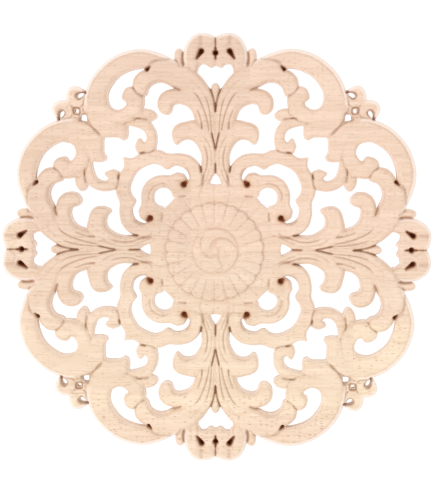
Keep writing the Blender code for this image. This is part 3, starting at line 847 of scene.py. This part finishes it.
def sampled(field, side, x, y):
    """The map's values at those places, from the four points around each."""
    step = side[1] - side[0]
    u = np.clip((x - side[0]) / step, 0, len(side) - 1.001)
    v = np.clip((y - side[0]) / step, 0, len(side) - 1.001)
    i, j = v.astype(int), u.astype(int)
    fv, fu = v - i, u - j
    return ((field[i, j] * (1 - fu) + field[i, j + 1] * fu) * (1 - fv)
            + (field[i + 1, j] * (1 - fu) + field[i + 1, j + 1] * fu) * fv)


def hang_upright(points):
    """Map points in millimetres to the frame in metres, in the solid's box: y goes up, heights forward."""
    reach = np.abs(points[:, :2]).max(0)
    share = min(cad_high.x / MM / reach[0], cad_high.z / MM / reach[1]) * BOX_SHARE
    depth = min(1.0, -cad_low.y / MM / points[:, 2].max())
    return np.stack([points[:, 0] * share, -points[:, 2] * depth, points[:, 1] * share], 1) * MM


def carved_relief(material):
    """The visual piece, with the painted highlight and shade of its colour as attributes."""
    cover, height, shades, side = relief()
    piece = thinned(panel_mesh(cover, height, side))
    mesh = piece.data
    points = np.zeros(len(mesh.vertices) * 3)
    mesh.vertices.foreach_get("co", points)
    points = points.reshape(-1, 3)
    for name, field in shades.items():
        values = sampled(field, side, points[:, 0], points[:, 1]) * smooth(points[:, 2] / FULL_SHADE)
        mesh.attributes.new(name, "FLOAT", "POINT").data.foreach_set("value", values.astype(np.float32))
    mesh.vertices.foreach_set("co", hang_upright(points).ravel())
    mesh.shade_smooth()
    mesh.set_sharp_from_angle(angle=SHARP)
    mesh.materials.clear()
    mesh.materials.append(material)
    mesh.update()
    return piece


def set_input(tree, socket, value):
    """Links the value to the socket if it is another socket, or else sets it there."""
    if isinstance(value, bpy.types.NodeSocket):
        tree.links.new(value, socket)
    else:
        socket.default_value = value


def add_node(tree, kind, sockets=(), **settings):
    """A shader node with its settings, and numbers or links for its inputs."""
    made = tree.nodes.new(kind)
    for name, value in settings.items():
        setattr(made, name, value)
    for name, value in dict(sockets).items():
        set_input(tree, made.inputs[name], value)
    return made


def calculate(tree, operation, *values):
    return add_node(tree, "ShaderNodeMath", enumerate(values), operation=operation).outputs[0]


def vector(tree, operation, *values):
    return add_node(tree, "ShaderNodeVectorMath", enumerate(values), operation=operation).outputs[0]


def scaled_and_raised(tree, value, share, least):
    return calculate(tree, "ADD", calculate(tree, "MULTIPLY", value, share), least)


def random_by(tree, number):
    """A random value and colour that depend on the number alone."""
    return add_node(tree, "ShaderNodeTexWhiteNoise", {"W": number}, noise_dimensions="1D").outputs


def parts_of(tree, colour):
    return add_node(tree, "ShaderNodeSeparateColor", {0: colour}).outputs


def ramp(tree, value, stops):
    made = add_node(tree, "ShaderNodeValToRGB", {"Fac": value})
    points = made.color_ramp.elements
    while len(points) < len(stops):
        points.new(1.0)
    for point, (place, colour) in zip(points, stops):
        point.position = place
        point.color = (*colour, 1.0) if isinstance(colour, tuple) else (colour, colour, colour, 1.0)
    return made.outputs["Color"]


def mixed(tree, blend, share, base, colour):
    made = add_node(tree, "ShaderNodeMix", {0: share, 6: base, 7: colour}, data_type="RGBA", blend_type=blend)
    return made.outputs[2]


def shaded(tree, base, value, stops):
    """The colour times what the ramp makes of the value."""
    return mixed(tree, "MULTIPLY", 1.0, base, ramp(tree, value, stops))


def stretched_noise(tree, place, size, detail=3.0, distortion=0.0):
    """Noise whose grains measure the given sizes in millimetres along x, y and z."""
    scaled = vector(tree, "MULTIPLY", place, [1 / (s * MM) for s in size])
    return add_node(tree, "ShaderNodeTexNoise", {
        "Vector": scaled, "Scale": 1.0, "Detail": detail, "Roughness": NOISE_ROUGHNESS,
        "Distortion": distortion}).outputs["Fac"]


def stave_at(tree, axes):
    """The random value and colour of the stave that a point is on."""
    row = calculate(tree, "DIVIDE", calculate(tree, "ADD", axes["Z"], STAVE_SHIFT), STAVE_HEIGHT)
    row = calculate(tree, "FLOOR", row)
    run = calculate(tree, "DIVIDE", axes["X"], STAVE_LENGTH)
    run = calculate(tree, "FLOOR", calculate(tree, "ADD", run, random_by(tree, row)["Value"]))
    random = random_by(tree, calculate(tree, "ADD", run, calculate(tree, "MULTIPLY", row, ROW_STEP)))
    return random["Value"], random["Color"]


def stave_tint(tree, axes, random, brightness):
    """Pink or yellow wood, by the height on the panel and by the stave, whose brightness varies too."""
    height = calculate(tree, "DIVIDE", calculate(tree, "ADD", axes["Z"], PANEL / 2), PANEL)
    own = calculate(tree, "MULTIPLY", calculate(tree, "SUBTRACT", random, 0.5), STAVE_VARIETY)
    tone = calculate(tree, "ADD", ramp(tree, height, YELLOW_BY_HEIGHT), own)
    base = ramp(tree, tone, [(0.0, WOOD_PINK), (1.0, WOOD_YELLOW)])
    return shaded(tree, base, brightness, STAVE_BRIGHTNESS)


def figured(tree, base, own_place, grain):
    """The wood with its figure, grain and clouding."""
    figure = stretched_noise(tree, own_place, FIGURE, detail=2.0, distortion=FIGURE_BEND)
    cloud = stretched_noise(tree, own_place, CLOUD, detail=2.0)
    base = shaded(tree, base, figure, FIGURE_SHADES)
    base = shaded(tree, base, grain, GRAIN_SHADES)
    return shaded(tree, base, cloud, CLOUD_SHADES)


def pores(tree, own_place):
    """Short level streaks: the cores of long cells, of which some are picked."""
    cells = vector(tree, "MULTIPLY", own_place, PORES_PER_METRE)
    pore = add_node(tree, "ShaderNodeTexVoronoi", {"Vector": cells, "Scale": 1.0}, feature="F1")
    core = ramp(tree, pore.outputs["Distance"], PORE_CORE)
    return calculate(tree, "MULTIPLY", core, ramp(tree, parts_of(tree, pore.outputs["Color"])[0], PORE_PICK))


def streaked(tree, base, own_place, pore, streakiness, openness):
    """The wood with long faint streaks, and with its pores."""
    streak = ramp(tree, stretched_noise(tree, own_place, STREAK, detail=1.0), STREAK_PICK)
    for mark, share in ((streak, streakiness), (pore, openness)):
        base = mixed(tree, "MIX", calculate(tree, "MULTIPLY", mark, share), base, PORE_BROWN)
    return base


def painted_light_and_shade(tree, base):
    """Painted highlight: the wood paler along the edges. Painted shade: red-brown around the volutes' eyes
    and darker in hollows, carved lines and pits.
    """
    shade = {name: add_node(tree, "ShaderNodeAttribute", attribute_name=name).outputs["Fac"]
             for name in ("crease_shade", "line", "pit", "edge", "eye_shade")}
    # painted highlight along the edges
    base = mixed(tree, "MIX", calculate(tree, "MULTIPLY", shade["edge"], HIGHLIGHT_SHARE), base, HIGHLIGHT_PALE)
    # painted shade around the volutes' eyes
    eye_darkening = calculate(tree, "MULTIPLY", shade["eye_shade"], EYE_SHADE_SHARE)
    base = mixed(tree, "MULTIPLY", eye_darkening, base, EYE_SHADE_BROWN)
    # painted shade in hollows, carved lines and pits
    for name, stops, colour in PAINTED_SHADES:
        base = mixed(tree, "MIX", ramp(tree, shade[name], stops), base, colour)
    return base


def sanded(tree, shader, grain, pore):
    """A dull finish that is a little rough with the grain and the pores."""
    tree.links.new(ramp(tree, grain, GRAIN_ROUGHNESS), shader.inputs["Roughness"])
    shader.inputs["Specular IOR Level"].default_value = SHINE
    rough = calculate(tree, "SUBTRACT", calculate(tree, "MULTIPLY", grain, GRAIN_BUMP), pore)
    bump = {"Height": rough, "Strength": BUMP_STRENGTH, "Distance": BUMP_HEIGHT}
    tree.links.new(add_node(tree, "ShaderNodeBump", bump).outputs["Normal"], shader.inputs["Normal"])


def bare_wood():
    """Sanded rubberwood: level staves of several tints, grain and pores along x, with painted shade where
    sunken and painted highlight along the edges.
    """
    material = bpy.data.materials.new("bare_rubberwood")
    material.use_nodes = True
    tree = material.node_tree
    shader = tree.nodes["Principled BSDF"]
    place = add_node(tree, "ShaderNodeTexCoord").outputs["Object"]
    axes = add_node(tree, "ShaderNodeSeparateXYZ", {0: place}).outputs
    random, random_colour = stave_at(tree, axes)
    own_place = vector(tree, "ADD", place, random_colour)
    _, brightness, streakiness = parts_of(tree, random_colour)
    grain = stretched_noise(tree, own_place, GRAIN)
    pore = pores(tree, own_place)
    base = figured(tree, stave_tint(tree, axes, random, brightness), own_place, grain)
    base = streaked(tree, base, own_place, pore,
                    scaled_and_raised(tree, streakiness, STREAK_VARIETY, STREAK_LEAST),
                    scaled_and_raised(tree, random, PORE_VARIETY, PORE_LEAST))
    tree.links.new(painted_light_and_shade(tree, base), shader.inputs["Base Color"])
    sanded(tree, shader, grain, pore)
    return material


def plain_material(name, colour, roughness):
    material = bpy.data.materials.new(name)
    material.use_nodes = True
    shader = material.node_tree.nodes["Principled BSDF"]
    shader.inputs["Base Color"].default_value = colour
    shader.inputs["Roughness"].default_value = roughness
    return material


def pale_floor():
    skin = bmesh.new()
    bmesh.ops.create_grid(skin, x_segments=1, y_segments=1, size=FLOOR_HALF)
    mesh = bpy.data.meshes.new("floor")
    skin.to_mesh(mesh)
    skin.free()
    mesh.materials.append(plain_material("pale_floor", FLOOR_WHITE, FLOOR_ROUGHNESS))
    floor = bpy.data.objects.new("floor", mesh)
    floor.location = (0, 0, FLOOR_HEIGHT)
    bpy.context.scene.collection.objects.link(floor)
    return floor


def soft_key():
    """The one lamp: low in front and to the left, where the photo's shading fits it best."""
    lamp = bpy.data.lights.new("key", "AREA")
    lamp.shape = "DISK"
    lamp.size = KEY_SIZE
    lamp.energy = KEY_POWER
    made = bpy.data.objects.new("key", lamp)
    made.location = KEY_PLACE
    made.rotation_euler = (-Vector(KEY_PLACE)).to_track_quat("-Z", "Y").to_euler()
    bpy.context.scene.collection.objects.link(made)


def white_world():
    world = bpy.data.worlds.new("studio")
    world.use_nodes = True
    background = world.node_tree.nodes["Background"]
    background.inputs["Color"].default_value = (1.0, 1.0, 1.0, 1.0)
    background.inputs["Strength"].default_value = WORLD_STRENGTH
    bpy.context.scene.world = world


def camera():
    """Nearly in front, from a little above and to the right, at the photograph's scale."""
    level, rise = math.cos(CAMERA_RISE), math.sin(CAMERA_RISE)
    back = Vector((math.sin(CAMERA_TURN) * level, -math.cos(CAMERA_TURN) * level, rise))
    right = Vector((math.cos(CAMERA_TURN), math.sin(CAMERA_TURN), 0))
    up = back.cross(right)
    lens = bpy.data.cameras.new("camera")
    lens.sensor_width = FILM
    lens.lens = FILM * CAMERA_AWAY / (PIXEL * PHOTO_HEIGHT)
    made = bpy.data.objects.new("camera", lens)
    made.matrix_world = Matrix((right, up, back)).transposed().to_4x4()
    made.matrix_world.translation = (Vector((0, -FACE_DEPTH, 0)) + CAMERA_AWAY * back
                                     + CAMERA_RIGHT * right + CAMERA_UP * up)
    bpy.context.scene.collection.objects.link(made)
    bpy.context.scene.camera = made


piece = carved_relief(bare_wood())
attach(piece, "root")
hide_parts("carved_panel")
pale_floor()
white_world()
soft_key()
camera()
bpy.context.scene.view_settings.view_transform = "Standard"
